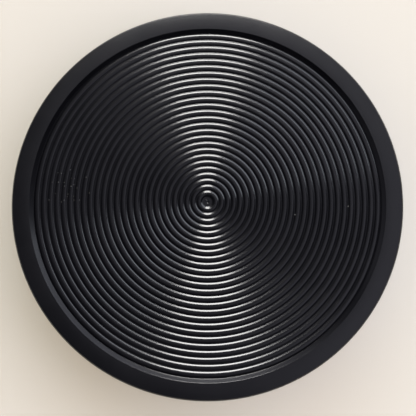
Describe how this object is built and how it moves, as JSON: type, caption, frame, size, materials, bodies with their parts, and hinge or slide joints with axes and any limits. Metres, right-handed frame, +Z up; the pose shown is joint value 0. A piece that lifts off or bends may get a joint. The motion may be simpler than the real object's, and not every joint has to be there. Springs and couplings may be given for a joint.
{
  "type": "banding wheel",
  "caption": "Round banding wheel for pottery: ridged black head with a flat raised rim, spinning on bearings in a flared pedestal with rubber feet.",
  "frame": {"origin": "centre of the plane that the four feet rest on, on the spindle's axis", "axes": "+Z up along the spindle's axis; +X points at the set screw"},
  "size_m": [0.3, 0.3, 0.12],
  "materials": {
    "head_plastic": "semi-gloss black moulded plastic",
    "pedestal_paint": "black baked paint over cast iron, fine texture",
    "cover_paint": "black paint, smooth",
    "plate_paint": "black paint, satin",
    "cast_aluminium": "bead-blasted, machined faces",
    "turned_steel": "turned",
    "bearing_steel": "ground",
    "ball_steel": "polished",
    "shield_steel": "satin",
    "cage_brass": "satin",
    "spring_steel": "oiled dark",
    "zinc_screws": "bright zinc",
    "black_screws": "black oxide",
    "rubber": "matte"
  },
  "bodies": {
    "pedestal": {"pedestal_base": "pedestal_paint", "upper_outer_race": "bearing_steel", "lower_outer_race": "bearing_steel", "upper_shields": "shield_steel", "lower_shields": "shield_steel", "bearing_cover": "cover_paint", "cover_screws": "black_screws", "dust_seal": "rubber", "preload_spring": "spring_steel", "retaining_ring": "spring_steel", "bottom_plate": "plate_paint", "rubber_feet": "rubber", "foot_screws": "zinc_screws"},
    "head": {"head_plate": "head_plastic", "hub_flange": "cast_aluminium", "hub_screws": "zinc_screws", "set_screw": "black_screws", "spindle": "turned_steel", "upper_inner_race": "bearing_steel", "lower_inner_race": "bearing_steel", "spacer_sleeve": "turned_steel", "lock_washer": "zinc_screws", "lock_nut": "zinc_screws"},
    "upper_ball_set": {"upper_cage": "cage_brass", "upper_balls": "ball_steel"},
    "lower_ball_set": {"lower_cage": "cage_brass", "lower_balls": "ball_steel"}
  },
  "joints": [
    {"name": "head_spin", "type": "hinge", "parent": "pedestal", "child": "head", "pos_m": [0, 0, 0.1], "axis": [0, 0, 1], "continuous": true},
    {"name": "upper_cage_orbit", "type": "hinge", "parent": "pedestal", "child": "upper_ball_set", "pos_m": [0, 0, 0.0825], "axis": [0, 0, 1], "continuous": true},
    {"name": "lower_cage_orbit", "type": "hinge", "parent": "pedestal", "child": "lower_ball_set", "pos_m": [0, 0, 0.0355], "axis": [0, 0, 1], "continuous": true}
  ],
  "couplings": [
    {"joint": "upper_cage_orbit", "follows": "head_spin", "ratio": 0.38},
    {"joint": "lower_cage_orbit", "follows": "head_spin", "ratio": 0.38}
  ]
}
